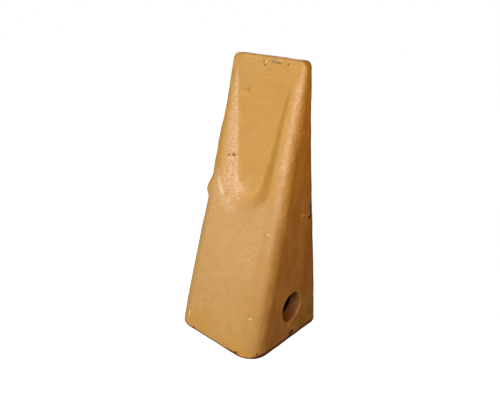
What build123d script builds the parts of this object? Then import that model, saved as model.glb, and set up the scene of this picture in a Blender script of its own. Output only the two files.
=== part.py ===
import os
from math import atan2, degrees, hypot, radians, tan

from build123d import *

# The frame, in millimetres: the tooth stands on its mouth. X runs across it, along the pin,
# Y runs through its thickness with the front towards -Y, and Z runs from the mouth to the tip.
# The origin is the middle of the mouth's rim plane.

overall_length = 180.0

# Outside: a straight taper from the mouth to the tip, with corners that sharpen on the way.
# The waist and the belly are two levels between them with corner radii of their own. The belly
# is placed from the tip, as the scoops are, so that a longer tooth grows between the two.
# The tip's two sides are rounded over all but a narrow flat.
mouth_width = 69.8
mouth_depth = 78.6
mouth_corner_radius = 13.7
waist_height = 45.0
waist_corner_radius = 11.1
belly_to_tip = 53.0
belly_corner_radius = 9.3
tip_width = 55.4
tip_thickness = 7.6
tip_side_flat = 0.4

# Roundings of the tip's end corners, of its edges and of the rim's outer edge.
# The end corners are cut a little outside the sides, so that they meet them at a slight angle.
tip_end_radius = 5.4
tip_end_overlap = 0.3
tip_edge_radius = 1.6
rim_edge_radius = 0.5

# The scoops that thin the blade, one on the front and one on the back. A scoop is a U, open at
# the tip, with sloping walls and a flat floor that runs out onto the face below the tip.
# Angles are in degrees: the floor's from the face, the walls' from the way into the face.
scoop_half_width = 20.0
scoop_height = 84.0
scoop_to_tip = 8.0
scoop_floor_angle = 6.6
scoop_wall_angle = 52.0
scoop_foot_radius = 6.0

# A flatter slope breaks the edge between a scoop's walls and the face
crest_angle = 71.0
crest_reach = 1.7

# The solids that cut the scoops start outside the face and end below the scoop's depth
cutter_lift = 7.0
cutter_overcut = 1.0

# The socket for the adapter's nose, which tapers to a closed end
side_wall = 9.0
face_wall = 9.0
socket_length = 92.0
socket_end_width = 42.0
socket_end_depth = 15.0
socket_corner_radius = 7.0
socket_end_corner_radius = 5.0
socket_end_fillet = 4.0
socket_lip_chamfer = 1.0

# The pin's hole, through both side walls
pin_hole_radius = 10.0
pin_hole_height = 24.4
pin_hole_edge_radius = 0.8

# Worked out from the driving dimensions
belly_height = overall_length - belly_to_tip
tip_corner_radius = (tip_thickness - tip_side_flat) / 2
face_slope = (mouth_depth - tip_thickness) / 2 / overall_length
face_lean = degrees(atan2(face_slope, 1))
scoop_spread = tan(radians(scoop_wall_angle))
crest_spread = tan(radians(crest_angle))
floor_rise = tan(radians(scoop_floor_angle))
scoop_runout_height = overall_length - scoop_to_tip
scoop_end_height = scoop_runout_height - scoop_height
scoop_length = scoop_height * hypot(1, face_slope)
scoop_depth = scoop_length * floor_rise / (1 + scoop_spread * floor_rise)
crest_depth = crest_reach / (crest_spread - scoop_spread)
socket_width = mouth_width - 2 * side_wall
socket_depth = mouth_depth - 2 * face_wall
past_the_tip = overall_length


def rounded_section(height, width, depth, radius):
    """One level of a tapered shape: a rectangle with rounded corners, at a height above the rim."""
    with BuildSketch(Plane.XY.offset(height)) as level:
        RectangleRounded(width, depth, radius)
    return level.sketch


def outer_level(height, radius):
    """A level of the outside, with the width and depth of the straight taper there."""
    share = height / overall_length
    width = mouth_width + (tip_width - mouth_width) * share
    depth = mouth_depth + (tip_thickness - mouth_depth) * share
    return rounded_section(height, width, depth, radius)


def leaning_plane(height, lean):
    """A plane through the front face's middle line at a height, leaning back by an angle.

    Its local x runs along the row's X, its local y up the tooth and its local z out of the face.
    """
    on_face = (0, face_slope * height - mouth_depth / 2, height)
    out_of_face = Vector(0, -1, 0).rotate(Axis.X, -lean)
    return Plane(origin=on_face, x_dir=(1, 0, 0), z_dir=out_of_face)


def scoop_cutter(half_width, spread, depth, foot_radius=None):
    """The space inside a U on the front face, above the scoop's floor.

    The U shrinks by its spread with each millimetre of depth. The solid starts outside the
    face, where the same slope makes the U larger.
    """
    face = leaning_plane(scoop_end_height + scoop_half_width, face_lean)
    floor = leaning_plane(scoop_runout_height, face_lean - scoop_floor_angle)
    with BuildPart() as cutter:
        for level in (cutter_lift, -depth):
            radius = half_width + level * spread
            with BuildSketch(face.offset(level)):
                with BuildLine():
                    Polyline((-radius, 0), (-radius, past_the_tip), (radius, past_the_tip), (radius, 0))
                    ThreePointArc((-radius, 0), (0, -radius), (radius, 0))
                make_face()
        loft(ruled=True)
        split(bisect_by=floor, keep=Keep.TOP)
        if foot_radius:
            floor_face = cutter.faces().filter_by(floor)[0]
            fillet(floor_face.edges().sort_by(Axis.Z)[:-1], foot_radius)
    return cutter.part


# The core that leaves the socket: a taper with a rounded end
with BuildPart() as socket_core:
    add(rounded_section(0, socket_width, socket_depth, socket_corner_radius))
    add(rounded_section(socket_length, socket_end_width, socket_end_depth, socket_end_corner_radius))
    loft(ruled=True)
    fillet(socket_core.edges().group_by(Axis.Z)[-1], socket_end_fillet)

# The casting, in one piece
with BuildPart() as bucket_tooth:
    add(outer_level(0, mouth_corner_radius))
    add(outer_level(waist_height, waist_corner_radius))
    add(outer_level(belly_height, belly_corner_radius))
    add(outer_level(overall_length, tip_corner_radius))
    loft()

    # The tip's end corners, and then the edges round its end
    with BuildSketch(Plane.XZ) as front_outline:
        half_mouth = mouth_width / 2 + tip_end_overlap
        half_tip = tip_width / 2 + tip_end_overlap
        with BuildLine():
            Polyline((-half_mouth, 0), (half_mouth, 0), (half_tip, overall_length),
                     (-half_tip, overall_length), close=True)
        make_face()
        fillet(front_outline.vertices().group_by(Axis.Y)[-1], tip_end_radius)
    extrude(amount=mouth_depth, both=True, mode=Mode.INTERSECT)
    tip_zone = bucket_tooth.edges().filter_by_position(
        Axis.Z, overall_length - tip_end_radius, overall_length + tip_end_radius)
    fillet(tip_zone.filter_by(lambda edge: abs(edge.center().Y) > tip_side_flat), tip_edge_radius)

    # The scoops, the same front and back
    scoop = scoop_cutter(scoop_half_width, scoop_spread, scoop_depth + cutter_overcut, scoop_foot_radius)
    crest = scoop_cutter(scoop_half_width + crest_reach, crest_spread, crest_depth + cutter_overcut)
    for cutter in (scoop, crest):
        add(cutter, mode=Mode.SUBTRACT)
        mirror(cutter, about=Plane.XZ, mode=Mode.SUBTRACT)

    fillet(bucket_tooth.edges().group_by(Axis.Z)[0], rim_edge_radius)

    # The pin's hole comes before the socket, so that its only edges are the two outer ones
    with BuildSketch(Plane.YZ):
        with Locations((0, pin_hole_height)):
            Circle(pin_hole_radius)
    extrude(amount=mouth_width, both=True, mode=Mode.SUBTRACT)
    hole_wall = bucket_tooth.faces(Select.LAST).filter_by(GeomType.CYLINDER)
    fillet(hole_wall.edges().filter_by(lambda edge: edge.is_closed), pin_hole_edge_radius)

    add(socket_core.part, mode=Mode.SUBTRACT)
    rim = bucket_tooth.faces().sort_by(Axis.Z)[0]
    chamfer(rim.inner_wires().edges(), socket_lip_chamfer)

print("scoop depth", round(scoop_depth, 2), "volume", round(bucket_tooth.part.volume), bucket_tooth.part.is_valid)

os.makedirs("parts", exist_ok=True)
bucket_tooth.part.label = "bucket_tooth"
export_step(bucket_tooth.part, "parts/bucket_tooth.step")
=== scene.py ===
# %% [markdown]
# # A cast bucket tooth, painted ochre
#
# The real object is one lump of steel, poured into a sand mould and then painted. Nothing on it was
# machined, so its skin is a little uneven everywhere, and no edge is sharp. This lesson makes that skin
# as one surface: rows of a rounded rectangle that run from the tip down the outside, round the rim and
# back up inside the socket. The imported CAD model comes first, because it says where everything is.

import bmesh
import bpy
import numpy as np
from mathutils import Matrix, Vector


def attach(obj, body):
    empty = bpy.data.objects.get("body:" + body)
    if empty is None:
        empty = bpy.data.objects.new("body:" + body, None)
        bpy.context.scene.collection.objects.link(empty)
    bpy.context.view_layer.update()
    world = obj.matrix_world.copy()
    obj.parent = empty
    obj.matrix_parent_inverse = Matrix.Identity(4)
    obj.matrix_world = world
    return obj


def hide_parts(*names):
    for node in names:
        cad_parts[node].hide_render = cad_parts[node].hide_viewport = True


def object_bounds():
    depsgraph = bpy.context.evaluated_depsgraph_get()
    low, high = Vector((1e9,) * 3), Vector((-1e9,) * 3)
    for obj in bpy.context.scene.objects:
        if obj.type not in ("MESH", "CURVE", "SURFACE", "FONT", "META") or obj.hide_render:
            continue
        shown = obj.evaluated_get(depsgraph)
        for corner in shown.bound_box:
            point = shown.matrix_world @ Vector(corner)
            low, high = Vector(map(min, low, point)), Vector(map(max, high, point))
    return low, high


MM = 0.001

# Keeps a division from failing where what it divides by is nothing
TINY = MM * MM

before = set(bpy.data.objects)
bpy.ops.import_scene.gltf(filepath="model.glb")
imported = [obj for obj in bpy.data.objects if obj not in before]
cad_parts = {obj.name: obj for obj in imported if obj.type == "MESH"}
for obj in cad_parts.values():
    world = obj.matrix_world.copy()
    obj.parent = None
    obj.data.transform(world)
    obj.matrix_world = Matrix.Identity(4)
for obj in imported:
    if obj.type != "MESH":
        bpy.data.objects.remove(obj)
cad_box = [list(corner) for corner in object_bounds()]
print("CAD box in millimetres", [round((high - low) / MM, 1) for low, high in zip(*cad_box)])

# %% [markdown]
# ## The camera
#
# The photograph looks at the tooth from its front right and a little from above, and the camera is
# rolled a few degrees, which tips the tooth to the left. A camera is placed by three turns and a point.
# Its own axes are worked out here as the columns of a matrix, so that the roll is a plain number.

# %% Camera
IMAGE_WIDTH = 500
SENSOR_WIDTH = 36.0
CAMERA_AZIMUTH = np.radians(38.6)
CAMERA_ELEVATION = np.radians(21.49)
CAMERA_ROLL = np.radians(4.305)
CAMERA_PLACE = Vector((0.1813, -0.2367, 0.2008))
FOCAL_PIXELS = 488.0
CLIP_START = 0.01


def direction(azimuth, elevation):
    """A unit vector from the tooth. Azimuth 0 is straight in front, a quarter turn is to the right."""
    flat = np.cos(elevation)
    return Vector((np.sin(azimuth) * flat, -np.cos(azimuth) * flat, np.sin(elevation)))


def camera_turn(azimuth, elevation, roll):
    """The camera's right, up and back axes as columns, with right and up turned about back by the roll."""
    back = direction(azimuth, elevation)
    level = Vector((np.cos(azimuth), np.sin(azimuth), 0))
    upright = back.cross(level)
    right = np.cos(roll) * level + np.sin(roll) * upright
    up = np.cos(roll) * upright - np.sin(roll) * level
    return Matrix((right, up, back)).transposed().to_4x4()


camera = bpy.data.objects.new("camera", bpy.data.cameras.new("camera"))
camera.data.sensor_width = SENSOR_WIDTH
camera.data.lens = FOCAL_PIXELS / IMAGE_WIDTH * SENSOR_WIDTH
camera.data.clip_start = CLIP_START
turn = camera_turn(CAMERA_AZIMUTH, CAMERA_ELEVATION, CAMERA_ROLL)
camera.matrix_world = Matrix.Translation(CAMERA_PLACE) @ turn
bpy.context.scene.collection.objects.link(camera)
bpy.context.scene.camera = camera
print("lens in millimetres", round(camera.data.lens, 2))

# %% [markdown]
# ## Light
#
# One large soft lamp lights the front, from almost straight ahead and a little above. The side face turns
# away from it and is nearly in the dark: a small warm lamp beside it does what light bounced off a wooden
# wall would do. A weaker lamp behind keeps the back from turning black. Three more lamps only show as
# gloss, like windows in a dark room, and leave their highlights on the crests and the corner. The view
# transform stays plain, so that a colour shows about as it is written.

# %% Lamps
AIM = Vector((0, 0, 0.09))
SOFT_WHITE = (1.0, 1.0, 0.95)
PEACH = (1.0, 0.9, 0.8)
AMBER = (1.0, 0.53, 0.0)

# Azimuth and elevation in degrees, distance and size in metres, power in watts, and colour
LAMPS = {
    "key": (4, 14, 1.0, 0.6, 8.0, SOFT_WHITE),
    "warm_fill": (76, 30, 0.23, 0.12, 0.14, AMBER),
    "back_fill": (225, 20, 1.2, 0.6, 6.0, PEACH),
}
SHEENS = {
    "right_sheen": (42, 21, 0.6, 0.3, 140.0, SOFT_WHITE),
    "left_sheen": (-32, 2, 0.6, 0.2, 30.0, SOFT_WHITE),
    "high_sheen": (-40, 50, 0.6, 0.3, 35.0, SOFT_WHITE),
}


def soft_lamp(name, azimuth, elevation, distance, size, power, colour):
    """A square area lamp that faces the middle of the tooth from a direction and a distance."""
    lamp = bpy.data.objects.new(name, bpy.data.lights.new(name, "AREA"))
    lamp.data.size = size
    lamp.data.energy = power
    lamp.data.color = colour
    lamp.visible_camera = False
    way = direction(np.radians(azimuth), np.radians(elevation))
    turn = way.to_track_quat("Z", "Y").to_matrix().to_4x4()
    lamp.matrix_world = Matrix.Translation(AIM + distance * way) @ turn
    bpy.context.scene.collection.objects.link(lamp)
    return lamp


for name, values in LAMPS.items():
    soft_lamp(name, *values)
for name, values in SHEENS.items():
    soft_lamp(name, *values).visible_diffuse = False
bpy.context.scene.view_settings.view_transform = "Standard"

# %% [markdown]
# ## Nodes in short words
#
# Materials are trees of nodes. Four helpers keep them readable: one adds a node with its settings and
# inputs, one does arithmetic, one blends two colours, and one turns a value into an S-curve.

# %% Node helpers
def add_node(tree, kind, inputs=(), **settings):
    """Adds a node with its settings. An input, by name or number, is a value or another node's output."""
    node = tree.nodes.new("ShaderNode" + kind)
    for name, value in settings.items():
        setattr(node, name, value)
    for name, value in dict(inputs).items():
        if isinstance(value, bpy.types.NodeSocket):
            tree.links.new(value, node.inputs[name])
        else:
            node.inputs[name].default_value = value
    return node


def arithmetic(tree, operation, *values):
    """The result of a Math node."""
    return add_node(tree, "Math", enumerate(values), operation=operation).outputs[0]


def blend(tree, share, first, second):
    """The first colour where the share is 0 and the second where it is 1."""
    inputs = {"Factor": share, "A": first, "B": second}
    return add_node(tree, "Mix", inputs, data_type="RGBA").outputs["Result"]


def eased(tree, value, start, end, low=0.0, high=1.0):
    """An S-curve from low, where the value is the start, to high, where it is the end."""
    limits = {"Value": value, "From Min": start, "From Max": end, "To Min": low, "To Max": high}
    return add_node(tree, "MapRange", limits, interpolation_type="SMOOTHSTEP").outputs["Result"]


# %% [markdown]
# ## White background
#
# The background is white, but that white must not light the tooth, or its side face would turn pale.
# So the world is white only for rays that come from the camera, or by way of a reflection or glass, and
# dim for the rest. The floor is a grey that also glows for those same rays. Where the lamps reach it the
# two add up to white, and what is left is the tooth's own faint shadow. Further away, where the lamps are
# weak, it glows more, so that its far edge is lost in the white behind it.

# %% World
WHITE = (1.0, 1.0, 1.0, 1.0)
DIM_WARM = (0.12, 0.042, 0.006, 1.0)


def seen_rays(tree):
    """A mask: 1 for rays from the camera, from a reflection or through glass."""
    path = add_node(tree, "LightPath")
    mask = path.outputs["Is Camera Ray"]
    for name in ("Is Glossy Ray", "Is Transmission Ray"):
        mask = arithmetic(tree, "MAXIMUM", mask, path.outputs[name])
    return mask


def make_world():
    """White for the rays that are seen and a dim warm light for the others."""
    world = bpy.data.worlds.new("studio")
    world.use_nodes = True
    tree = world.node_tree
    tree.links.new(blend(tree, seen_rays(tree), DIM_WARM, WHITE), tree.nodes["Background"].inputs["Color"])
    return world


bpy.context.scene.world = make_world()
print("world", bpy.context.scene.world.name, "lights the tooth with", DIM_WARM[:3])

# %% Floor
FLOOR_HALF = 2.5
FLOOR_GREY = (0.2, 0.2, 0.2, 1.0)
FLOOR_ROUGHNESS = 0.9
NEAR_GLOW = 0.97
GLOW_START = 0.15
GLOW_END = 0.9
SOCKET_HALF = (29.0 * MM, 33.0 * MM)


def floor_glow(tree):
    """A weaker glow near the tooth and a full one far away, and none under the tooth itself."""
    place = add_node(tree, "TexCoord").outputs["Object"]
    far = add_node(tree, "VectorMath", {0: place}, operation="LENGTH").outputs["Value"]
    split = add_node(tree, "SeparateXYZ", {0: place})
    shares = [arithmetic(tree, "DIVIDE", arithmetic(tree, "ABSOLUTE", split.outputs[axis]), half)
              for axis, half in enumerate(SOCKET_HALF)]
    clear = arithmetic(tree, "GREATER_THAN", arithmetic(tree, "MAXIMUM", *shares), 1.0)
    return arithmetic(tree, "MULTIPLY", eased(tree, far, GLOW_START, GLOW_END, NEAR_GLOW), clear)


def pale_floor_material():
    """A dull grey with a glow added for the rays that are seen."""
    material = bpy.data.materials.new("pale_floor")
    material.use_nodes = True
    tree = material.node_tree
    shader = tree.nodes["Principled BSDF"]
    shader.inputs["Base Color"].default_value = FLOOR_GREY
    shader.inputs["Roughness"].default_value = FLOOR_ROUGHNESS
    shader.inputs["Specular IOR Level"].default_value = 0.0
    shader.inputs["Emission Color"].default_value = WHITE
    strength = arithmetic(tree, "MULTIPLY", seen_rays(tree), floor_glow(tree))
    tree.links.new(strength, shader.inputs["Emission Strength"])
    return material


def make_floor():
    """One square face at the height of the rim."""
    corners = [(x * FLOOR_HALF, y * FLOOR_HALF, 0.0) for x, y in ((-1, -1), (1, -1), (1, 1), (-1, 1))]
    mesh = bpy.data.meshes.new("floor")
    mesh.from_pydata(corners, [], [(0, 1, 2, 3)])
    mesh.materials.append(pale_floor_material())
    floor = bpy.data.objects.new("floor", mesh)
    bpy.context.scene.collection.objects.link(floor)
    print("floor from", tuple(floor.bound_box[0]), "to", tuple(floor.bound_box[6]))


make_floor()

# %% [markdown]
# ## The casting's sizes
#
# A straight taper runs from the mouth to the tip, and the corners sharpen on the way. The socket inside
# is a second taper with walls of nine millimetres. These are the sizes of the CAD model, so the skin made
# here lies on that model and stays in its box.

# %% Sizes
LENGTH = 180.0 * MM
MOUTH = np.array([69.8, 78.6]) * MM
TIP = np.array([55.4, 7.6]) * MM
CORNER_HEIGHTS = np.array([0.0, 45.0, 127.0, 180.0]) * MM
CORNER_RADII = np.array([13.7, 11.1, 9.3, 3.6]) * MM
TIP_EDGE_RADIUS = 1.6 * MM
RIM_EDGE_RADIUS = 0.5 * MM

SOCKET_LENGTH = 92.0 * MM
SOCKET_MOUTH = np.array([51.8, 60.6]) * MM
SOCKET_END = np.array([42.0, 15.0]) * MM
SOCKET_CORNERS = np.array([7.0, 5.0]) * MM
SOCKET_LIP = 1.0 * MM
SOCKET_END_FILLET = 4.0 * MM

corner_curve = np.polyfit(CORNER_HEIGHTS / LENGTH, CORNER_RADII, 3)


def outer_section(height):
    """Width, depth and corner radius of the outside: straight lines, and a cubic curve for the radius."""
    width, depth = MOUTH[:, None] + np.outer(TIP - MOUTH, height / LENGTH)
    return width, depth, np.polyval(corner_curve, height / LENGTH)


def socket_section(height):
    """Width, depth and corner radius of the socket, all three straight lines."""
    share = height / SOCKET_LENGTH
    width, depth = SOCKET_MOUTH[:, None] + np.outer(SOCKET_END - SOCKET_MOUTH, share)
    return width, depth, SOCKET_CORNERS[0] + (SOCKET_CORNERS[1] - SOCKET_CORNERS[0]) * share


for height in (0.0, LENGTH / 2, LENGTH):
    sizes = [round(float(size[0]) / MM, 1) for size in outer_section(np.array([height]))]
    print("at height", round(height / MM), "width, depth and corner radius", sizes)

# %% [markdown]
# ## Rows from the tip to the end of the socket
#
# A row of the skin is a rounded rectangle with a width, a depth, a corner radius and a height. The tip's
# end, the rim and the socket's end are made of rows too: there the rectangle is drawn in while its height
# hardly changes. That way one grid covers the whole casting, and no cap has to be sewn on.

# %% Rows
STEP = 0.8 * MM
DEEP_STEP = 2.0 * MM
FINE_SOCKET = 42.0 * MM
END_ROWS = 6
TURN_ROWS = 5
RIM_ROWS = 7


def rows_at(section, heights):
    """Rows of a taper at these heights."""
    return np.stack([*section(heights), heights], 1)


def drawn_in(row, inset, height):
    """Copies of a row, each drawn in by an inset. A corner keeps its centre until its radius is gone."""
    width, depth, radius = row[:3]
    return np.stack([width - 2 * inset, depth - 2 * inset, np.maximum(radius - inset, 0), height], 1)


def steps(start, end, size):
    """Even steps of about a size from a start to an end."""
    return np.linspace(start, end, int(round(abs(end - start) / size)) + 1)


def skin_rows():
    """The stretches of the skin in order, by name, each an array of rows."""
    tip_row = rows_at(outer_section, np.array([LENGTH]))[0]
    rim_row = rows_at(outer_section, np.array([RIM_EDGE_RADIUS]))[0]
    lip_row = rows_at(socket_section, np.array([SOCKET_LIP]))[0]
    last_height = SOCKET_LENGTH - SOCKET_END_FILLET
    last_row = rows_at(socket_section, np.array([last_height]))[0]
    turn = np.linspace(0, np.pi / 2, TURN_ROWS + 2)[1:-1]
    closing = np.linspace(1, 0, END_ROWS)
    tip_inset = TIP_EDGE_RADIUS + (TIP[1] / 2 - TIP_EDGE_RADIUS) * closing
    end_inset = SOCKET_END_FILLET + (last_row[1] / 2 - SOCKET_END_FILLET) * closing[::-1]
    rows = {}
    rows["tip end"] = drawn_in(tip_row, tip_inset, np.full(END_ROWS, LENGTH))
    rows["tip edge"] = drawn_in(tip_row, TIP_EDGE_RADIUS * (1 - np.sin(turn)),
                                LENGTH - TIP_EDGE_RADIUS * (1 - np.cos(turn)))
    rows["outside"] = rows_at(outer_section, steps(LENGTH - TIP_EDGE_RADIUS, RIM_EDGE_RADIUS, STEP))
    rows["rim edge"] = drawn_in(rim_row, RIM_EDGE_RADIUS * (1 - np.cos(turn)),
                                RIM_EDGE_RADIUS * (1 - np.sin(turn)))
    outer_end = drawn_in(rim_row, np.array([RIM_EDGE_RADIUS]), np.zeros(1))
    inner_end = drawn_in(lip_row, np.array([-SOCKET_LIP]), np.zeros(1))
    rows["rim"] = outer_end + (inner_end - outer_end) * np.linspace(0, 1, RIM_ROWS)[:, None]
    rows["lip"] = drawn_in(lip_row, SOCKET_LIP * (np.sin(turn) - 1), SOCKET_LIP * (1 - np.cos(turn)))
    fine = steps(SOCKET_LIP, FINE_SOCKET, STEP)
    coarse = steps(FINE_SOCKET, last_height, DEEP_STEP)[1:]
    rows["socket"] = rows_at(socket_section, np.concatenate([fine, coarse]))
    rows["end fillet"] = drawn_in(last_row, SOCKET_END_FILLET * (1 - np.cos(turn)),
                                  last_height + SOCKET_END_FILLET * np.sin(turn))
    rows["socket end"] = drawn_in(last_row, end_inset, np.full(END_ROWS, SOCKET_LENGTH))
    return rows


stretches = skin_rows()
first_row = dict(zip(stretches, np.cumsum([0] + [len(rows) for rows in stretches.values()])))
rows = np.concatenate(list(stretches.values()))
print(len(rows), "rows:", {name: len(stretch) for name, stretch in stretches.items()})

# %% [markdown]
# ## One row as a rounded rectangle
#
# The second parameter says how far round the row a point lies, in quarters: 0 is the middle of the
# front, 1 the middle of the right side, 2 of the back and 3 of the left side. Within a quarter it is the
# share of the length walked along the outline, so points stay evenly spaced where the side faces
# narrow to almost nothing at the tip.

# %% Rounded rectangle
QUARTER_COLUMNS = 68
COLUMNS = 4 * QUARTER_COLUMNS


def rounded_rectangle(width, depth, radius, around):
    """Points of a row: half of the front's flat, then a quarter circle, then half of the side's flat.

    The walk along a quarter is folded, so that it always runs from front or back to a side, and the
    signs of x and y say which quarter it is.
    """
    fold = np.minimum(around % 2, 2 - around % 2)
    to_right = np.where(around < 2, 1.0, -1.0)
    to_back = np.where(np.abs(around - 2) < 1, 1.0, -1.0)
    front = width / 2 - radius
    side = depth / 2 - radius
    arc = np.pi / 2 * radius
    walk = fold * (front + arc + side)
    angle = np.clip((walk - front) / np.maximum(radius, TINY), 0, np.pi / 2)
    x = np.minimum(walk, front) + radius * np.sin(angle)
    y = side + radius * np.cos(angle) - np.maximum(walk - front - arc, 0)
    return to_right * x, to_back * y


around = np.arange(COLUMNS) / QUARTER_COLUMNS
x, y = rounded_rectangle(*(rows[:, [k]] for k in range(3)), around)
z = np.repeat(rows[:, [3]], COLUMNS, axis=1)
print("grid of", x.shape, "points")

# %% [markdown]
# ## Rounded ends of the tip
#
# Seen from the front, the tip's two corners are rounded. A saw cut would give that as a circle on the
# outline. In a grid it is easier to lower the points near the top by what the circle takes away, and to let
# that fade out further down, so that the rows bend round the corner together.

# %% Tip corners
TIP_END_RADIUS = 5.4 * MM
TIP_END_OVERLAP = 0.3 * MM
TIP_CORNER_FADE = 16.0 * MM


def smooth_step(value):
    """0 below 0, 1 above 1 and an S-curve between them."""
    value = np.clip(value, 0, 1)
    return value * value * (3 - 2 * value)


def tip_corner_drop(x, z):
    """How far a point is lowered: the radius less the height of a quarter circle there, fading out below."""
    centre = TIP[0] / 2 + TIP_END_OVERLAP - TIP_END_RADIUS
    out = np.clip(np.abs(x) - centre, 0, TIP_END_RADIUS)
    drop = TIP_END_RADIUS - np.sqrt(TIP_END_RADIUS**2 - out**2)
    return drop * smooth_step(1 - (LENGTH - z) / TIP_CORNER_FADE)


outer = np.arange(len(rows)) < first_row["rim edge"]
z[outer] -= tip_corner_drop(x[outer], z[outer])
print("the tip's sides start at", round(float(z[first_row["outside"], QUARTER_COLUMNS]) / MM, 1))

# %% [markdown]
# ## The scoops
#
# A scoop on the front and one on the back thin the blade, so that it stays sharp as it wears. Seen from
# the front a scoop is a U that is open at the tip. Its walls slope, its floor is flat and runs out on the
# face just below the tip. Its depth is worked out for every point as the smaller of two depths, the
# wall's and the floor's, with the corner between them and the crest at the top blended round.
#
# The same distances say where the front's paint is made pale as a painted highlight, so that share is
# worked out here too. It is kept for the paint.

# %% Scoops
SCOOP_HALF_WIDTH = 20.0 * MM
SCOOP_CENTRE = 108.0 * MM
SCOOP_RUNOUT = 172.0 * MM
SCOOP_FLOOR_RISE = np.tan(np.radians(6.6))
SCOOP_WALL_RISE = 1 / np.tan(np.radians(52.0))
CREST_BLEND = 2.0 * MM
RUNOUT_BLEND = 0.4 * MM
FOOT_BLEND = 1.9 * MM
FOOT_SHARE = 0.6
FACE_STRETCH = np.hypot(1, (MOUTH[1] - TIP[1]) / 2 / LENGTH)

# Where a painted highlight pales the paint: the left wall, the left crest and a strip beside the right crest
HIGHLIGHT_EDGE = 1.0 * MM
HIGHLIGHT_OUT = 2.4 * MM
HIGHLIGHT_SHARE = 0.7
HIGHLIGHT_TURN = 8.0 * MM
CREST_HIGHLIGHT = 0.7
CREST_HIGHLIGHT_TOP = 112.0 * MM
CREST_HIGHLIGHT_FADE = 12.0 * MM
CREST_HIGHLIGHT_OFFSET = 0.5 * MM
CREST_HIGHLIGHT_WIDTH = 3.8 * MM
RIGHT_HIGHLIGHT = 0.36
RIGHT_HIGHLIGHT_PLACE = 25.2 * MM
RIGHT_HIGHLIGHT_WIDTH = 1.8 * MM
RIGHT_HIGHLIGHT_END = 88.0 * MM
RIGHT_HIGHLIGHT_FADE = 35.0 * MM


def smooth_min(first, second, blend):
    """The smaller of two, less a parabola where they are within a blend of each other."""
    near = np.maximum(blend - np.abs(first - second), 0)
    return np.minimum(first, second) - near * near / (4 * np.maximum(blend, TINY))


def smooth_max(first, second, blend):
    """The larger of two, plus the same parabola."""
    return -smooth_min(-first, -second, blend)


def inside_scoop(x, z):
    """How far inside the U a point lies, along the face. Outside the U it is less than nothing."""
    below = np.minimum(z - SCOOP_CENTRE, 0) * FACE_STRETCH
    return SCOOP_HALF_WIDTH - np.hypot(x, below)


def scoop_floor(z):
    """Depth of the scoop's floor, which runs out on the face."""
    return smooth_max(0, (SCOOP_RUNOUT - z) * FACE_STRETCH * SCOOP_FLOOR_RISE, RUNOUT_BLEND)


def scoop_depth(x, z):
    """Depth of a scoop, level into the face: the smaller of its wall's depth and its floor's depth."""
    wall = smooth_max(0, inside_scoop(x, z) * SCOOP_WALL_RISE, CREST_BLEND)
    floor = scoop_floor(z)
    return smooth_min(wall, floor, np.minimum(FOOT_BLEND, FOOT_SHARE * floor)) * FACE_STRETCH


def painted_highlight_share(x, y, z):
    """How strongly a painted highlight pales the front: on the left wall, and in bell curves on the left
    crest and right.
    """
    inward = inside_scoop(x, z)
    wall_width = scoop_floor(z) / SCOOP_WALL_RISE
    wall = smooth_step((inward + HIGHLIGHT_OUT) / (HIGHLIGHT_SHARE * wall_width + HIGHLIGHT_OUT))
    wall = wall * smooth_step((wall_width - inward) / HIGHLIGHT_EDGE)
    crest = CREST_HIGHLIGHT * np.exp(-((inward + CREST_HIGHLIGHT_OFFSET) / CREST_HIGHLIGHT_WIDTH) ** 2)
    crest = crest * smooth_step((CREST_HIGHLIGHT_TOP - z) / CREST_HIGHLIGHT_FADE)
    left = np.maximum(wall, crest) * smooth_step(-x / HIGHLIGHT_TURN)
    right = RIGHT_HIGHLIGHT * np.exp(-((x - RIGHT_HIGHLIGHT_PLACE) / RIGHT_HIGHLIGHT_WIDTH) ** 2)
    right = right * smooth_step((z - RIGHT_HIGHLIGHT_END) / RIGHT_HIGHLIGHT_FADE)
    return np.maximum(left, right) * smooth_step(wall_width / HIGHLIGHT_EDGE) * (y < 0)


# The painted highlight's share on the front, kept for the paint
painted_highlight = np.zeros_like(x)
painted_highlight[outer] = painted_highlight_share(x[outer], y[outer], z[outer])
y[outer] -= np.sign(y[outer]) * scoop_depth(x[outer], z[outer])
thinnest = np.abs(y[first_row["outside"]:first_row["rim edge"], 0])
print("half thickness on the middle line, from", round(float(thinnest.min()) / MM, 2), "mm")

# %% [markdown]
# ## Room for the pin's hole
#
# The pin's hole goes through both side walls. Cutting it with a boolean would leave long thin faces round
# it. Instead a square window of cells is picked on the side face, and the points round it are drawn to
# concentric circles. Then the cells in the window are left out, and its rim is a clean ring of points.

# %% Hole windows
HOLE_HEIGHT = 24.4 * MM
HOLE_RADIUS = 10.0 * MM
HOLE_EDGE_RADIUS = 0.8 * MM
WINDOW_ROWS = 12
WINDOW_COLUMNS = 11
WINDOW_FADE = 1.85


def square_to_circle(across, along):
    """Rings of squares become rings of circles: an eighth of a turn goes to each half of a square's side."""
    wide = np.abs(across) >= np.abs(along)
    share = np.where(wide, along, across) / np.maximum(np.maximum(np.abs(across), np.abs(along)), TINY)
    reach = np.where(wide, across, along)
    angle = np.where(wide, share * np.sign(across), 2 - share * np.sign(along)) * np.pi / 4
    return reach * np.cos(angle), reach * np.sin(angle)


def window_ring(row, column):
    """Row and column numbers of the points round a window, from its first corner and back to it."""
    along = np.arange(-WINDOW_COLUMNS, WINDOW_COLUMNS)
    up = np.arange(-WINDOW_ROWS, WINDOW_ROWS)
    right = np.full(len(up), WINDOW_COLUMNS)
    top = np.full(len(along), WINDOW_ROWS)
    rise = np.concatenate([-top, up, top, -up])
    side = np.concatenate([along, right, -along, -right])
    return row + rise, column + side


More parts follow.
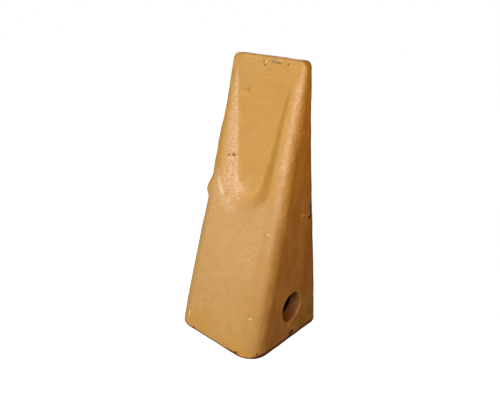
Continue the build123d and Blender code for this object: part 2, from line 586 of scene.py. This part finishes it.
def open_window(section, stretch, column, radius):
    """Draws the grid round a window to circles of a radius and more, and returns the window's middle row.

    A point keeps its place on the side wall: its x follows the wall's taper to the new height.
    """
    start = first_row[stretch]
    heights = z[start:start + len(stretches[stretch]), column]
    row = start + int(np.argmin(np.abs(heights - HOLE_HEIGHT)))
    upward = np.sign(z[row + 1, column] - z[row, column])
    rightward = np.sign(x[row, column])
    reach = int(np.ceil(WINDOW_FADE * WINDOW_ROWS))
    part = np.ix_(np.arange(row - reach, row + reach + 1), np.arange(column - reach, column + reach + 1))
    across = (part[1] - column) / WINDOW_COLUMNS * rightward
    along = (part[0] - row) / WINDOW_ROWS * upward
    circle_y, circle_z = square_to_circle(*np.broadcast_arrays(across, along))
    ring = np.maximum(np.abs(across), np.abs(along))
    pull = smooth_step((WINDOW_FADE - ring) / (WINDOW_FADE - 1))
    old_width = section(z[part].ravel())[0].reshape(z[part].shape)
    y[part] += pull * (radius * circle_y - y[part])
    z[part] += pull * (HOLE_HEIGHT + radius * circle_z - z[part])
    new_width = section(z[part].ravel())[0].reshape(z[part].shape)
    x[part] += rightward * (new_width - old_width) / 2
    return row


windows = []
for column in (QUARTER_COLUMNS, 3 * QUARTER_COLUMNS):
    outer_row = open_window(outer_section, "outside", column, HOLE_RADIUS + HOLE_EDGE_RADIUS)
    inner_row = open_window(socket_section, "socket", column, HOLE_RADIUS)
    windows.append((column, outer_row, inner_row))
print("windows at column, outer row and inner row", windows)

# %% [markdown]
# ## The bores
#
# Each bore is a short tube of rings, from the window on the outside to the one in the socket. Its outer
# edge is rounded, because the mould's core left it so. The first and last rings repeat the windows'
# own points, which are welded later.

# %% Bores
BORE_RINGS = 9
EDGE_RINGS = 5


def bore_rings(column, outer_row, inner_row):
    """Rings from one window to the other: a quarter circle inwards, then straight lines along the bore."""
    outer_ring = window_ring(outer_row, column)
    inner_ring = (inner_row + outer_row - outer_ring[0], outer_ring[1])
    start = np.stack([x[outer_ring], y[outer_ring], z[outer_ring]], -1)
    end = np.stack([x[inner_ring], y[inner_ring], z[inner_ring]], -1)
    inward = np.sign(end[:, 0] - start[:, 0])
    out = np.stack([np.zeros(len(start)), start[:, 1], start[:, 2] - HOLE_HEIGHT], -1)
    out /= np.linalg.norm(out, axis=1, keepdims=True)
    rings = [start]
    for angle in np.linspace(0, np.pi / 2, EDGE_RINGS + 1)[1:]:
        ring = start - out * HOLE_EDGE_RADIUS * np.sin(angle)
        ring[:, 0] += inward * HOLE_EDGE_RADIUS * (1 - np.cos(angle))
        rings.append(ring)
    rings += [rings[-1] + (end - rings[-1]) * share for share in np.linspace(0, 1, BORE_RINGS + 1)[1:]]
    return np.stack(rings)


bores = [bore_rings(*window) for window in windows]
print("rings and points in a bore", bores[0].shape[:2])

# %% [markdown]
# ## Sand-cast unevenness
#
# The mould is made of sand, and the skin wanders by a tenth or two of a millimetre. Noise does that: a
# random number for each corner of a lattice, blended smoothly in between. Three such noises, one for
# each direction, move the points. Flats, edges and roundings then all wander alike.

# %% Lattice noise
AXIS_PRIMES = (73856093, 19349663, 83492791)
SEED_PRIME = 49979687
MIXING_FACTOR = 1274126177


def lattice_value(cell, seed):
    """A number from -1 to 1 for each whole-number cell, made by multiplying and mixing its bits."""
    mixed = seed * SEED_PRIME
    for axis, prime in enumerate(AXIS_PRIMES):
        mixed = mixed ^ cell[..., axis] * prime
    mixed = (mixed ^ mixed >> 13) * MIXING_FACTOR
    mixed = mixed ^ mixed >> 16
    return (mixed & 0xFFFF) / 0x7FFF - 1


def lattice_noise(place, size, seed):
    """Smooth noise from -1 to 1: the eight lattice values round a point, blended by an S-curve."""
    spot = place / size
    cell = np.floor(spot).astype(np.int64)
    share = spot - cell
    share = share * share * (3 - 2 * share)
    total = np.zeros(place.shape[:-1])
    for corner in np.ndindex(2, 2, 2):
        weight = np.where(corner, share, 1 - share).prod(-1)
        total += weight * lattice_value(cell + np.array(corner), seed)
    return total


# %% Uneven skin
UNEVENNESS = ((16.0 * MM, 0.15 * MM), (7.0 * MM, 0.11 * MM), (3.0 * MM, 0.07 * MM))
RIM_CALM = 3.0 * MM


def uneven(place):
    """Each point moved by a small noise in x, y and z, in a few sizes. The rim stays level."""
    moved = place.copy()
    calm = smooth_step(place[..., 2] / RIM_CALM)
    for layer, (size, amount) in enumerate(UNEVENNESS):
        for axis in range(3):
            push = amount * lattice_noise(place, size, 3 * layer + axis + 1)
            moved[..., axis] += push * (calm if axis == 2 else 1)
    return np.clip(moved, *cad_box)


skin = uneven(np.stack([x, y, z], -1))
bores = [uneven(rings) for rings in bores]
print("largest move in millimetres", round(float(np.abs(skin - np.stack([x, y, z], -1)).max()) / MM, 2))

# %% [markdown]
# ## Faults of the casting
#
# Where the mould crumbled, the steel filled the gap. A lump sits on the left front corner, steep below
# and running out above in a low knob, and a thin fold lies beside it on the scoop's end. Knocks have also
# left small hollows. They could be sculpted, but all are round or run along a line. So each pushes the skin
# out or in along its own normal, by a height that falls off with the distance.

# %% Lump and fold
LUMP_FOOT = np.array([-28.6, -16.2, 94.0]) * MM
LUMP_LEAN = np.array([0.04, 0.2])
LUMP_WIDTH = 4.3 * MM
LUMP_HEIGHT = 2.2 * MM
LUMP_BELOW = 6.0 * MM
LUMP_ABOVE = 11.0 * MM
KNOB_RISE = 34.0 * MM
KNOB_SIZE = 17.0 * MM
KNOB_HEIGHT = 0.6 * MM
FOLD_LINE = MM * np.array([[-19.9, -19.2, 103.8], [-18.2, -19.6, 100.9],
                           [-17.1, -19.8, 98.4], [-14.8, -20.5, 95.1]])
FOLD_WIDTH = 0.85 * MM
FOLD_HEIGHT = 1.0 * MM


def outward(points):
    """Unit normals of a grid: the cross product of its steps from row to row and from column to column."""
    across = np.roll(points, -1, axis=1) - np.roll(points, 1, axis=1)
    normal = np.cross(np.gradient(points, axis=0), across)
    return normal / np.maximum(np.linalg.norm(normal, axis=-1, keepdims=True), TINY**2)


def lump_height(points):
    """A bell curve across the corner, times a slope that is steep below and long above, and a small knob."""
    rise = points[..., 2] - LUMP_FOOT[2]
    plan = points[..., :2] - LUMP_FOOT[:2] - rise[..., None] * LUMP_LEAN
    across = np.exp(-(np.linalg.norm(plan, axis=-1) / LUMP_WIDTH) ** 2)
    slope = smooth_step(1 + rise / LUMP_BELOW) * smooth_step(1 - rise / LUMP_ABOVE)
    knob = np.exp(-((rise - KNOB_RISE) / KNOB_SIZE) ** 2)
    return across * (LUMP_HEIGHT * slope + KNOB_HEIGHT * knob)


def distance_to_line(points, line):
    """The smallest distance to a line's pieces: to each one's nearest point between its ends."""
    distances = []
    for start, end in zip(line[:-1], line[1:]):
        share = np.clip((points - start) @ (end - start) / np.sum((end - start) ** 2), 0, 1)
        distances.append(np.linalg.norm(points - start - share[..., None] * (end - start), axis=-1))
    return np.min(distances, axis=0)


fold = np.zeros_like(x)
fold[outer] = np.exp(-(distance_to_line(skin[outer], FOLD_LINE) / FOLD_WIDTH) ** 2)
skin[outer] += outward(skin)[outer] * (lump_height(skin[outer]) + FOLD_HEIGHT * fold[outer])[..., None]
print("height of the lump in millimetres", round(float(lump_height(skin[outer]).max()) / MM, 2))

# %% Knocks
# Each is a centre, radii and a depth, in millimetres
CHIPS = {
    "left of the rim": ((-17.6, -38.9, 1.1), (1.4, 1.5, 0.8), 0.2),
    "right of the rim": ((20.6, -39.1, 1.4), (1.6, 1.5, 1.0), 0.25),
    "along the rim": ((18.0, -39.1, 1.0), (6.5, 1.5, 0.6), 0.1),
    "front corner": ((32.6, -32.3, 3.4), (0.9, 1.0, 0.6), 0.15),
    "side rim": ((34.5, 1.9, 4.4), (1.2, 2.5, 1.6), 0.3),
    "side rim foot": ((34.7, 0.3, 2.2), (1.2, 1.5, 2.0), 0.3),
    "back edge": ((30.8, 14.0, 91.6), (1.6, 2.8, 3.6), 0.2),
    "back edge foot": ((30.9, 13.6, 89.0), (1.6, 1.8, 2.2), 0.1),
    "back edge spot": ((31.0, 12.6, 84.8), (1.2, 1.7, 1.7), 0.1),
}
PITS = {
    "crest": ((-14.6, -11.4, 118.9), (1.1, 1.5, 0.9), 0.15),
    "crest left": ((-17.0, -13.4, 118.5), (0.9, 1.5, 0.5), 0.1),
    "nick": ((-9.8, -6.3, 160.7), (0.5, 1.0, 0.9), 0.2),
    "nick foot": ((-10.4, -6.4, 159.1), (0.5, 1.0, 0.9), 0.2),
    "nick tail": ((-12.4, -6.3, 159.4), (1.6, 1.0, 0.3), 0.05),
    "tip pit": ((-1.9, -4.3, 176.8), (0.7, 1.0, 0.9), 0.2),
    "tip smudge": ((-0.6, -4.7, 175.0), (0.8, 1.0, 0.6), 0.05),
    "tip right": ((15.7, -4.3, 176.8), (0.8, 1.5, 0.8), 0.1),
    "corner nick": ((24.1, -33.2, 28.5), (0.5, 1.0, 0.6), 0.05),
}
HOLLOW_REACH = 1.3


def knock_hollow(points, centre, radii, depth):
    """A round hollow: its depth in the middle, and nothing a little outside an ellipsoid's radii."""
    spread = np.linalg.norm((points - np.array(centre) * MM) / (np.array(radii) * MM), axis=-1)
    return depth * MM * smooth_step(HOLLOW_REACH - spread)


hollow = sum(knock_hollow(skin[outer], *knock) for knock in (CHIPS | PITS).values())
skin[outer] -= outward(skin)[outer] * hollow[..., None]
skin = np.clip(skin, *cad_box)
print("deepest hollow in millimetres", round(float(hollow.max()) / MM, 2))

# %% [markdown]
# ## One closed mesh
#
# The grid's cells become faces, without those in the two windows, and the bores' cells are added. The
# columns close on themselves. Points that coincide are welded: the two halves of the seam on the tip's
# end and the socket's end, and the bores' ends. After that the skin is closed, so its volume can be
# measured.

# %% Mesh
WELD = 0.001 * MM
BORE_SHADE = 0.4


def grid_faces(height, width, offset, keep=None):
    """Four corners for each cell of a grid whose columns close on themselves."""
    row, column = np.mgrid[0:height - 1, 0:width]
    after = (column + 1) % width
    faces = np.stack([row * width + column, row * width + after,
                      (row + 1) * width + after, (row + 1) * width + column], -1) + offset
    return faces.reshape(-1, 4) if keep is None else faces[keep]


def outside_windows():
    """True for each cell of the skin that isn't in one of the four windows."""
    keep = np.ones((len(rows) - 1, COLUMNS), bool)
    for column, *window_rows in windows:
        for row in window_rows:
            across = slice(column - WINDOW_COLUMNS, column + WINDOW_COLUMNS)
            keep[row - WINDOW_ROWS:row + WINDOW_ROWS, across] = False
    return keep


def how_far_inside():
    """0 on the outside and 1 in the socket, rising over the rim.

    Along a bore it rises to the bore's shade in the first half, and to 1 in the last fifth.
    """
    row = np.arange(len(rows))
    rise = smooth_step((row - first_row["rim"]) / (first_row["socket"] - first_row["rim"]))
    ring = np.arange(len(bores[0])) / (len(bores[0]) - 1)
    along_bore = np.maximum(BORE_SHADE * smooth_step(2 * ring), smooth_step(5 * ring - 4))
    shares = [np.repeat(rise, COLUMNS)]
    return np.concatenate(shares + [np.repeat(along_bore, rings.shape[1]) for rings in bores])


def build_casting():
    """The welded mesh. Its points store how far inside they are, how much painted highlight, and how near
    the fold.
    """
    points = [skin.reshape(-1, 3)]
    faces = [grid_faces(len(rows), COLUMNS, 0, outside_windows())]
    for rings in bores:
        faces.append(grid_faces(*rings.shape[:2], sum(map(len, points))))
        points.append(rings.reshape(-1, 3))
    mesh = bpy.data.meshes.new("tooth_casting")
    mesh.from_pydata(np.concatenate(points), [], np.concatenate(faces).tolist())
    on_bores = np.zeros(sum(map(len, points[1:])))
    shares = {"inside": how_far_inside()}
    for name, on_skin in (("painted_highlight", painted_highlight), ("fold", fold)):
        shares[name] = np.append(on_skin, on_bores)
    for name, values in shares.items():
        mesh.attributes.new(name, "FLOAT", "POINT").data.foreach_set("value", values)
    work = bmesh.new()
    work.from_mesh(mesh)
    bmesh.ops.delete(work, geom=[point for point in work.verts if not point.link_faces], context="VERTS")
    bmesh.ops.remove_doubles(work, verts=work.verts, dist=WELD)
    bmesh.ops.recalc_face_normals(work, faces=work.faces)
    open_edges = sum(not edge.is_manifold for edge in work.edges)
    print("open edges", open_edges, "volume in cm3", round(work.calc_volume() / (10 * MM) ** 3, 2))
    work.to_mesh(mesh)
    work.free()
    mesh.shade_smooth()
    return mesh


casting = bpy.data.objects.new("tooth_casting", build_casting())
bpy.context.scene.collection.objects.link(casting)
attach(casting, "root")
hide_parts("bucket_tooth")
print("faces", len(casting.data.polygons))

# %% [markdown]
# ## Paint
#
# The paint is a dull ochre, sprayed over a skin that the sand has left rough. A single colour would look
# like plastic. The paint here wanders between a yellower ochre and a pinker one, with darker clouds; the
# pinker one is strongest at middle height, where it is partly painted sheen. The sides are streaked.
# Painted shade darkens the grain's hollows, the sides towards the back, what faces left and the back
# corners, and painted highlights make the left wall and crest and a strip beside the right crest pale. The
# paint has hardly any gloss.
# The sand's grain is a fine bump, stronger on the blade and calmer to the right. It is a node group of its
# own, with its sizes as inputs, because a group is easy to try out and to use again.

# %% Node groups
NOISE_MIDDLE = 0.5
GRAIN_DETAIL = 1.0
RIPPLE_STRETCH = (0.7, 0.7, 1.4)

# Each fade is where it starts and where it ends
PIT_FADE = (0.22, 0.05)
HOLLOW_FADE = (1.15, 0.85)
SPOT_FADE = (1.15, 0.75)


def node_group(name, inputs, outputs):
    """An empty group with named sockets, and what goes in and comes out of it, by name."""
    group = bpy.data.node_groups.new(name, "ShaderNodeTree")
    for in_out, sockets in (("INPUT", inputs), ("OUTPUT", outputs)):
        for socket, kind in sockets.items():
            group.interface.new_socket(name=socket, in_out=in_out, socket_type="NodeSocket" + kind)
    return group, group.nodes.new("NodeGroupInput").outputs, group.nodes.new("NodeGroupOutput").inputs


def noise(tree, vector, scale, detail=2.0):
    """Smooth noise about 0.5, with a scale in features per metre."""
    return add_node(tree, "TexNoise", {"Vector": vector, "Scale": scale, "Detail": detail}).outputs[0]


def scaled(tree, vector, factors):
    """Coordinates multiplied by a factor in each direction. A factor under 1 stretches what they place."""
    return add_node(tree, "VectorMath", {0: vector, 1: factors}, operation="MULTIPLY").outputs[0]


def sand_grain_group():
    """Height: fine and coarse noise and level ripples, less pits. Hollows: 1 where that height is low."""
    inputs = {"Vector": "Vector", "Fine Scale": "Float", "Coarse Scale": "Float", "Pits": "Float"}
    group, given, out = node_group("sand_grain", inputs, {"Height": "Float", "Hollows": "Float"})
    stretched = scaled(group, given["Vector"], RIPPLE_STRETCH)
    fine = noise(group, given["Vector"], given["Fine Scale"], GRAIN_DETAIL)
    coarse = noise(group, given["Vector"], given["Coarse Scale"], GRAIN_DETAIL)
    ripple = noise(group, stretched, given["Coarse Scale"], GRAIN_DETAIL)
    cells = add_node(group, "TexVoronoi", {"Vector": given["Vector"], "Scale": given["Coarse Scale"]})
    pits = arithmetic(group, "MULTIPLY", eased(group, cells.outputs["Distance"], *PIT_FADE), given["Pits"])
    height = arithmetic(group, "ADD", arithmetic(group, "ADD", fine, coarse), ripple)
    height = arithmetic(group, "SUBTRACT", height, pits)
    group.links.new(arithmetic(group, "SUBTRACT", height, 3 * NOISE_MIDDLE), out["Height"])
    group.links.new(eased(group, arithmetic(group, "ADD", coarse, ripple), *HOLLOW_FADE), out["Hollows"])
    return group


def spot_group():
    """A spot: 1 inside an ellipsoid round a centre and 0 outside, with a soft edge. Lengths in metres."""
    group, given, out = node_group("spot", {"Vector": "Vector", "Centre": "Vector", "Radii": "Vector"},
                                   {"Mask": "Float"})
    offset = add_node(group, "VectorMath", {0: given["Vector"], 1: given["Centre"]}, operation="SUBTRACT")
    share = add_node(group, "VectorMath", {0: offset.outputs[0], 1: given["Radii"]}, operation="DIVIDE")
    far = add_node(group, "VectorMath", {0: share.outputs[0]}, operation="LENGTH").outputs["Value"]
    group.links.new(eased(group, far, *SPOT_FADE), out["Mask"])
    return group


sand_grain = sand_grain_group()
spot = spot_group()
print("node groups", [group.name for group in bpy.data.node_groups])

# %% [markdown]
# ## Chips, scuffs and bare steel
#
# Where the casting was knocked, and along its rim, the paint has gone and dark red-brown oxide shows; the
# dark line along the rim is also partly a painted contact shadow. The tip's edge and a few pits are a
# lighter brown, partly worn paint and partly painted shade. Weaker knocks only scuff the paint pale. Near
# the tip one scrape is bare steel, with a stain beside it. Each mark is one spot from the group above, at a
# listed centre, and its edge is torn by adding noise to the coordinates first.

# %% Marks on the paint
# Each is a centre and radii, in millimetres
SCUFFS = {
    "pit": ((-0.6, -4.3, 176.9), (0.35, 1.5, 1.1)),
    "crest": ((-16.4, -13.3, 117.0), (1.0, 1.5, 0.5)),
    "corner": ((25.8, -33.4, 26.7), (1.0, 1.5, 0.5)),
    "corner speck": ((31.4, -29.6, 26.0), (0.3, 0.5, 0.3)),
    "left foot": ((-24.0, -37.2, 9.2), (0.6, 1.5, 3.0)),
    "corner bulge": ((25.5, -22.5, 80.6), (0.6, 0.8, 0.5)),
    "side top": ((29.2, -1.6, 140.3), (1.0, 0.5, 1.4)),
    "side back": ((31.3, 4.7, 87.5), (1.0, 2.2, 0.4)),
    "side back edge": ((31.3, 11.0, 86.2), (1.0, 0.6, 0.4)),
    "side foot": ((34.3, -1.9, 11.2), (1.0, 0.5, 2.2)),
}
SCRAPED = {"scrape": ((5.2, -4.2, 177.5), (2.0, 1.5, 0.7))}
STAINED = {"stain": ((8.8, -4.3, 177.1), (2.4, 1.5, 0.6))}
TEAR = 0.7 * MM
TEAR_SCALE = 900.0
TEAR_DETAIL = 2.0


def torn(tree, vector):
    """Coordinates moved by a small noise in each direction, so that what they place gets a ragged edge."""
    tear = add_node(tree, "TexNoise", {"Vector": vector, "Scale": TEAR_SCALE, "Detail": TEAR_DETAIL})
    centred = add_node(tree, "VectorMath", {0: tear.outputs["Color"], 1: [NOISE_MIDDLE] * 3},
                       operation="SUBTRACT")
    moved = add_node(tree, "VectorMath", {0: centred.outputs[0], 1: [TEAR] * 3, 2: vector},
                     operation="MULTIPLY_ADD")
    return moved.outputs[0]


def spots(tree, vector, marks):
    """The largest mask of a few spots, each a centre and radii in millimetres."""
    mask = 0.0
    for centre, radii, *_ in marks.values():
        place = {"Vector": vector, "Centre": Vector(centre) * MM, "Radii": Vector(radii) * MM}
        one = add_node(tree, "Group", place, node_tree=spot)
        mask = arithmetic(tree, "MAXIMUM", mask, one.outputs["Mask"])
    return mask


# %% Paint
YELLOW_OCHRE = (0.595, 0.320, 0.054, 1.0)
PINK_OCHRE = (0.590, 0.344, 0.102, 1.0)
# Pale paint for the painted highlights
HIGHLIGHT_OCHRE = (0.77, 0.550, 0.320, 1.0)
DARK_OCHRE = (0.42, 0.180, 0.012, 1.0)
# Painted shade for the back corners
BACK_CORNER_SHADE = (0.160, 0.045, 0.0, 1.0)
OXIDE = (0.100, 0.028, 0.0, 1.0)
# Brown for the pits and the tip's edge: partly worn paint, partly painted shade
WEAR_AND_SHADE_BROWN = (0.300, 0.125, 0.006, 1.0)
SCUFFED = (0.88, 0.62, 0.28, 1.0)
# Painted highlight along the fold's ridge
FOLD_HIGHLIGHT = (1.0, 0.80, 0.46, 1.0)
BARE_STEEL = (0.235, 0.200, 0.105, 1.0)
STAINED_STEEL = (0.210, 0.140, 0.035, 1.0)
# Painted shade in the bores, and dark oxide with painted shade deep in the socket
BORE_SHADE_BROWN = (0.260, 0.085, 0.002, 1.0)
SOCKET_OXIDE_AND_SHADE = (0.070, 0.024, 0.002, 1.0)

# A noise is its scale, in features per metre, and its detail
PATCH_NOISE = (45.0, 2.0)
CLOUD_NOISE = (130.0, 3.0)
STREAK_NOISE = (170.0, 4.0)
STREAK_STRETCH = (1.0, 1.0, 0.35)
ROUGHNESS_NOISE = (200.0, 2.0)

# Each fade is where it starts and ends, and then its values there if they aren't 0 and 1
SIDE_FACING = (0.6, 0.9)
PINK_ABOVE = (-20 * MM, 25 * MM)
PINK_BELOW = (115 * MM, 90 * MM)
PATCHES = (0.35, 0.65, -0.2, 0.2)
CLOUDS = (0.5, 0.75, 0.0, 0.12)
STREAKS = (0.4, 0.65, 0.0, 0.5)
# Painted shade: the sides darker towards the back
SIDE_SHADE_TO_BACK = (-5 * MM, 22 * MM, 0.0, 0.4)
# Painted shade on what faces left
LEFT_FACING_SHADE = (-0.25, -0.85, 0.0, 0.4)
# Painted shade on the back corners, where the normal turns to the back
BACK_FACING = (0.05, 0.35, 0.0, 0.8)
CORNER_REACH = (22 * MM, 26 * MM)
HIGHLIGHT_HOLLOWS = (1.0, 0.0, 0.45)
BORE_FADE = (0.0, BORE_SHADE, 0.0, 0.7)
SOCKET_FADE = (BORE_SHADE, 1.0)
RIM_FADE = (1.5 * MM, 0.6 * MM)
TIP_FADE = (LENGTH - 1.5 * MM, LENGTH)
TIP_TO_BACK = (-TIP[1] / 2, TIP[1] / 2, 0.25)
ROUGHNESS = (0.3, 0.7, 0.42, 0.54)
GRAIN_DEPTH = (60 * MM, 110 * MM, 0.2, 0.55)
CALMER_RIGHT = (14 * MM, 24 * MM, 1.0, 0.65)

# The rim's dark line, partly a painted contact shadow, reaches higher on the sides
SIDE_RIM_LINE = 2.4
# Painted shade in the grain's hollows
HOLLOW_SHADE = 0.12
GLOSS = 0.02
GRAIN = {"Fine Scale": 1200.0, "Coarse Scale": 700.0, "Pits": 0.15}
HIGHLIGHT_GRAIN = 0.28
SIDE_GRAIN = 0.12
GRAIN_HEIGHT = 0.6 * MM


def attribute(tree, name):
    """A number stored at the mesh's points."""
    return add_node(tree, "Attribute", attribute_name=name).outputs["Fac"]


def normal_share(tree, axis):
    """One coordinate of the skin's normal, from -1 to 1. X is 1 on the right side and Y is 1 on the back."""
    return add_node(tree, "SeparateXYZ", {0: add_node(tree, "TexCoord").outputs["Normal"]}).outputs[axis]


def to_side(tree):
    """A mask: 1 on the two side faces and 0 on the front and back."""
    return eased(tree, arithmetic(tree, "ABSOLUTE", normal_share(tree, "X")), *SIDE_FACING)


def layered(tree, colour, layers):
    """A colour with others laid over it in turn, each through its mask."""
    for mask, tone in layers:
        colour = blend(tree, mask, colour, tone)
    return colour


def ochre_tone(tree, place, grain):
    """The paint's own colour: two ochres in patches, and what makes them darker or paler."""
    split = add_node(tree, "SeparateXYZ", {0: place}).outputs
    sideways, along, height = split["X"], split["Y"], split["Z"]
    hollows = grain.outputs["Hollows"]
    # Pinker at middle height: partly a painted sheen on the front
    middle = arithmetic(tree, "MULTIPLY", eased(tree, height, *PINK_ABOVE), eased(tree, height, *PINK_BELOW))
    patches = eased(tree, noise(tree, place, *PATCH_NOISE), *PATCHES)
    pink = add_node(tree, "Clamp", {"Value": arithmetic(tree, "ADD", middle, patches)}).outputs[0]
    clouds = eased(tree, noise(tree, place, *CLOUD_NOISE), *CLOUDS)
    streaks_and_shade = eased(tree, noise(tree, scaled(tree, place, STREAK_STRETCH), *STREAK_NOISE), *STREAKS)
    # Painted shade: the sides grow darker towards the back, added to the streaks
    streaks_and_shade = arithmetic(tree, "ADD", streaks_and_shade, eased(tree, along, *SIDE_SHADE_TO_BACK))
    streaks_and_shade = arithmetic(tree, "MULTIPLY", streaks_and_shade, to_side(tree))
    # Painted shade on what faces left
    left = eased(tree, normal_share(tree, "X"), *LEFT_FACING_SHADE)
    # Painted shade on the back corners, further out than the scoops
    outwards = eased(tree, arithmetic(tree, "ABSOLUTE", sideways), *CORNER_REACH)
    back_corner_shade = arithmetic(tree, "MULTIPLY", eased(tree, normal_share(tree, "Y"), *BACK_FACING), outwards)
    # Painted highlight: pale paint where highlights fall, weaker in the grain's hollows
    highlight = arithmetic(tree, "MULTIPLY", attribute(tree, "painted_highlight"), eased(tree, hollows, *HIGHLIGHT_HOLLOWS))
    # Painted shade in the grain's hollows
    hollow_shade = arithmetic(tree, "MULTIPLY", hollows, HOLLOW_SHADE)
    return layered(tree, blend(tree, pink, YELLOW_OCHRE, PINK_OCHRE), (
        (clouds, DARK_OCHRE), (streaks_and_shade, DARK_OCHRE), (left, DARK_OCHRE),
        (back_corner_shade, BACK_CORNER_SHADE), (highlight, HIGHLIGHT_OCHRE), (hollow_shade, DARK_OCHRE)))


def ochre_paint():
    """The ochre, with brown in the bores and the socket that is partly painted shade, and over it scuffs,
    pits, bare steel and oxide.
    """
    material = bpy.data.materials.new("ochre_paint")
    material.use_nodes = True
    tree = material.node_tree
    place = add_node(tree, "TexCoord").outputs["Object"]
    split = add_node(tree, "SeparateXYZ", {0: place}).outputs
    shader = tree.nodes["Principled BSDF"]
    shader.inputs["Specular IOR Level"].default_value = GLOSS
    grain = add_node(tree, "Group", {"Vector": place} | GRAIN, node_tree=sand_grain)
    edges = torn(tree, place)
    height = add_node(tree, "SeparateXYZ", {0: edges}).outputs["Z"]
    # The dark line along the rim: worn paint to oxide and partly a painted contact shadow, higher on the
    # sides
    level = arithmetic(tree, "DIVIDE", height, eased(tree, to_side(tree), 0, 1, 1.0, SIDE_RIM_LINE))
    oxide = arithmetic(tree, "MAXIMUM", spots(tree, edges, CHIPS), eased(tree, level, *RIM_FADE))
    # The tip's edge, darker towards the back: partly worn paint and partly painted shade
    tip = arithmetic(tree, "MULTIPLY", eased(tree, height, *TIP_FADE), eased(tree, split["Y"], *TIP_TO_BACK))
    inside = attribute(tree, "inside")
    # Pits: knocked paint, with painted shade in them
    dull_marks = ((arithmetic(tree, "MAXIMUM", spots(tree, edges, PITS), tip), WEAR_AND_SHADE_BROWN),
                  (spots(tree, edges, SCRAPED), BARE_STEEL),
                  (spots(tree, edges, STAINED), STAINED_STEEL))

    colour = layered(tree, ochre_tone(tree, place, grain), (
        # Painted shade in the bores; dark oxide and painted shade deeper in the socket
        (eased(tree, inside, *BORE_FADE), BORE_SHADE_BROWN),
        (eased(tree, inside, *SOCKET_FADE), SOCKET_OXIDE_AND_SHADE),
        (spots(tree, edges, SCUFFS), SCUFFED),
        # A painted highlight along the fold's ridge
        (attribute(tree, "fold"), FOLD_HIGHLIGHT),
        *dull_marks,
        (oxide, OXIDE)))
    tree.links.new(colour, shader.inputs["Base Color"])

    roughness = eased(tree, noise(tree, place, *ROUGHNESS_NOISE), *ROUGHNESS)
    for mask, _ in dull_marks:
        roughness = arithmetic(tree, "MAXIMUM", roughness, mask)
    tree.links.new(roughness, shader.inputs["Roughness"])

    depth = eased(tree, height, *GRAIN_DEPTH)
    for mask, more in ((attribute(tree, "painted_highlight"), HIGHLIGHT_GRAIN), (to_side(tree), SIDE_GRAIN)):
        depth = arithmetic(tree, "ADD", depth, arithmetic(tree, "MULTIPLY", mask, more))
    depth = arithmetic(tree, "MULTIPLY", depth, eased(tree, split["X"], *CALMER_RIGHT))
    relief = arithmetic(tree, "MULTIPLY", grain.outputs["Height"], depth)
    bump = add_node(tree, "Bump", {"Height": relief, "Distance": GRAIN_HEIGHT, "Strength": 1.0})
    tree.links.new(bump.outputs["Normal"], shader.inputs["Normal"])
    return material


casting.data.materials.append(ochre_paint())
print("marks", len(CHIPS) + len(PITS) + len(SCUFFS) + len(SCRAPED) + len(STAINED))
